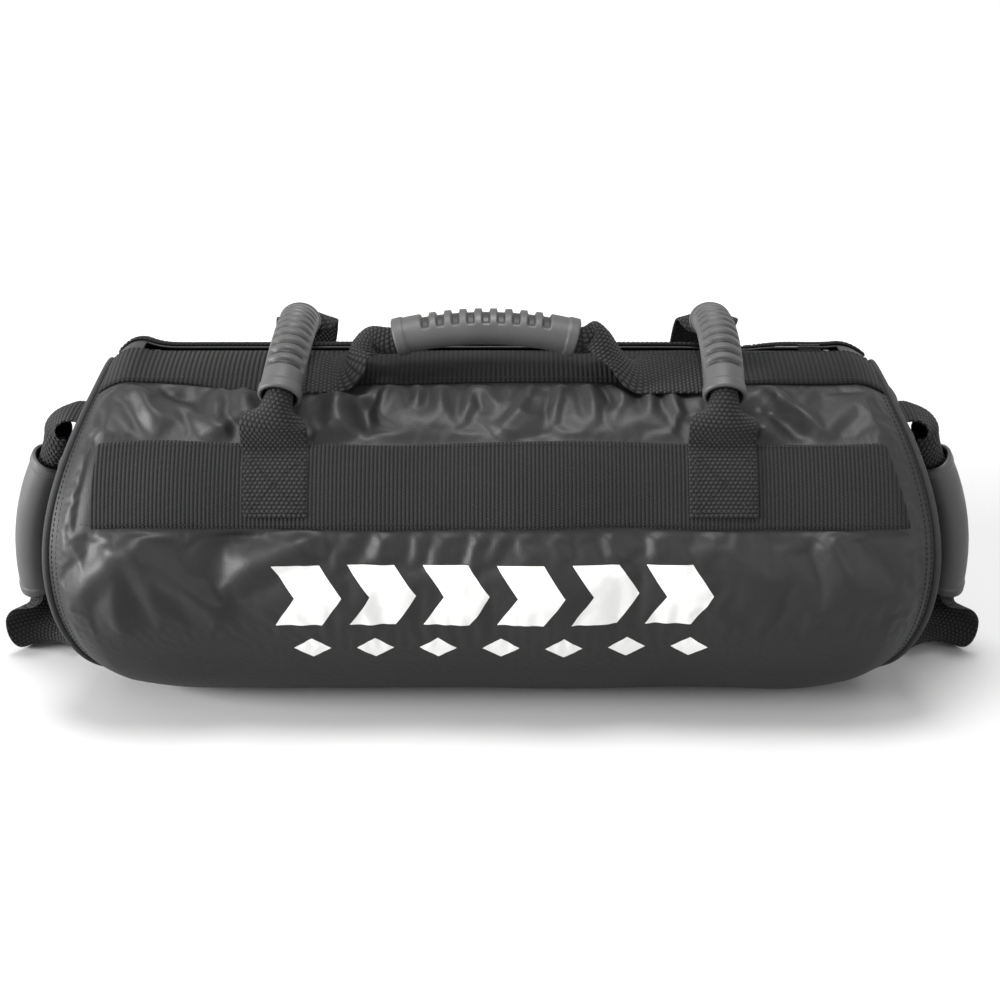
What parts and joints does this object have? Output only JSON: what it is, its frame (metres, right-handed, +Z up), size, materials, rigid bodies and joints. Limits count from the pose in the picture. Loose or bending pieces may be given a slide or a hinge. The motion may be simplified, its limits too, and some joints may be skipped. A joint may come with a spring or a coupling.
{
  "type": "training sandbag",
  "caption": "Stuffed fabric cylinder with webbing bands, a zipped top, sand-filled liners inside, and webbing handles with rubber grips on top and on both ends, for lifting and carrying.",
  "frame": {"origin": "on the floor, under the middle of the bag's bounding box", "axes": "+X along the bag to its right end, +Z up, -Y the front with the wide band that faces the viewer"},
  "size_m": [0.7514, 0.2799, 0.3045],
  "materials": {
    "coated_nylon": "satin coated weave",
    "webbing": "matte ribbed weave",
    "grip_rubber": "satin moulded rubber",
    "piping": "matte binding",
    "zip_tape": "matte woven tape",
    "zip_coil": "satin nylon coil",
    "zip_metal": "black painted metal",
    "liner_cloth": "matte tight weave",
    "hook_and_loop": "matte hook and loop",
    "sand": "loose sand"
  },
  "bodies": {
    "bag": {"shell_body": "coated_nylon", "left_end_panel": "coated_nylon", "right_end_panel": "coated_nylon", "left_end_piping": "piping", "right_end_piping": "piping", "front_band": "webbing", "back_band": "webbing", "front_top_strip": "webbing", "back_top_strip": "webbing", "front_zip_tape": "zip_tape", "back_zip_tape": "zip_tape", "front_zip_coil": "zip_coil", "back_zip_coil": "zip_coil", "left_zip_stop": "zip_metal", "right_zip_stop": "zip_metal", "left_cross_front_tab": "webbing", "left_cross_back_tab": "webbing", "right_cross_front_tab": "webbing", "right_cross_back_tab": "webbing", "centre_left_tab": "webbing", "centre_right_tab": "webbing", "left_end_top_tab": "webbing", "left_end_bottom_tab": "webbing", "right_end_top_tab": "webbing", "right_end_bottom_tab": "webbing", "left_liner": "liner_cloth", "left_sand": "sand", "left_hook_strip": "hook_and_loop", "left_loop_strip": "hook_and_loop", "middle_liner": "liner_cloth", "middle_sand": "sand", "middle_hook_strip": "hook_and_loop", "middle_loop_strip": "hook_and_loop", "right_liner": "liner_cloth", "right_sand": "sand", "right_hook_strip": "hook_and_loop", "right_loop_strip": "hook_and_loop"},
    "left_cross_handle": {"left_cross_strap": "webbing"},
    "left_cross_grip_body": {"left_cross_grip": "grip_rubber"},
    "right_cross_handle": {"right_cross_strap": "webbing"},
    "right_cross_grip_body": {"right_cross_grip": "grip_rubber"},
    "centre_handle": {"centre_strap": "webbing"},
    "centre_grip_body": {"centre_grip": "grip_rubber"},
    "left_end_handle": {"left_end_strap": "webbing"},
    "left_end_grip_body": {"left_end_grip": "grip_rubber"},
    "right_end_handle": {"right_end_strap": "webbing"},
    "right_end_grip_body": {"right_end_grip": "grip_rubber"},
    "slider": {"zip_slider": "zip_metal"},
    "pull": {"zip_pull": "zip_metal"}
  },
  "joints": [
    {"name": "left_cross_swing", "type": "hinge", "parent": "bag", "child": "left_cross_handle", "pos_m": [-0.162, -0.016, 0.251], "axis": [0, 0.9929, 0.1187], "range_deg": [-30, 8]},
    {"name": "left_cross_grip_slide", "type": "hinge", "parent": "left_cross_handle", "child": "left_cross_grip_body", "pos_m": [-0.162, 0.01095, 0.0256], "axis": [-1, 0, 0], "range_deg": [-1.32, 1.32]},
    {"name": "right_cross_swing", "type": "hinge", "parent": "bag", "child": "right_cross_handle", "pos_m": [0.162, -0.016, 0.251], "axis": [0, 0.9929, 0.1187], "range_deg": [-8, 30]},
    {"name": "right_cross_grip_slide", "type": "hinge", "parent": "right_cross_handle", "child": "right_cross_grip_body", "pos_m": [0.162, 0.01095, 0.0256], "axis": [-1, 0, 0], "range_deg": [-1.32, 1.32]},
    {"name": "centre_swing", "type": "hinge", "parent": "bag", "child": "centre_handle", "pos_m": [-0.004, -0.045, 0.2655], "axis": [1, 0, 0], "range_deg": [-57, 75]},
    {"name": "centre_grip_slide", "type": "hinge", "parent": "centre_handle", "child": "centre_grip_body", "pos_m": [-0.004, -0.045, 0.0315], "axis": [0, 1, 0], "range_deg": [-1.32, 1.32]},
    {"name": "left_end_swing", "type": "hinge", "parent": "bag", "child": "left_end_handle", "pos_m": [-0.3335, 0, 0.1175], "axis": [0.1653, -0.3199, 0.9329], "range_deg": [-45, 45]},
    {"name": "left_end_grip_slide", "type": "hinge", "parent": "left_end_handle", "child": "left_end_grip_body", "pos_m": [-0.10272, 0.01254, 0.08092], "axis": [0, 0.9459, 0.3243], "range_deg": [-1.32, 1.32]},
    {"name": "right_end_swing", "type": "hinge", "parent": "bag", "child": "right_end_handle", "pos_m": [0.3335, 0, 0.1175], "axis": [-0.1653, -0.3199, 0.9329], "range_deg": [-45, 45]},
    {"name": "right_end_grip_slide", "type": "hinge", "parent": "right_end_handle", "child": "right_end_grip_body", "pos_m": [0.10272, 0.01254, 0.08092], "axis": [0, -0.9459, -0.3243], "range_deg": [-1.32, 1.32]},
    {"name": "zip_slide", "type": "slide", "parent": "bag", "child": "slider", "axis": [1, 0, 0], "range_m": [-0.486, 0]},
    {"name": "pull_flip", "type": "hinge", "parent": "slider", "child": "pull", "pos_m": [0.243, 0.01229, 0.25959], "axis": [0, 0.9966, -0.0822], "range_deg": [0, 165]}
  ]
}
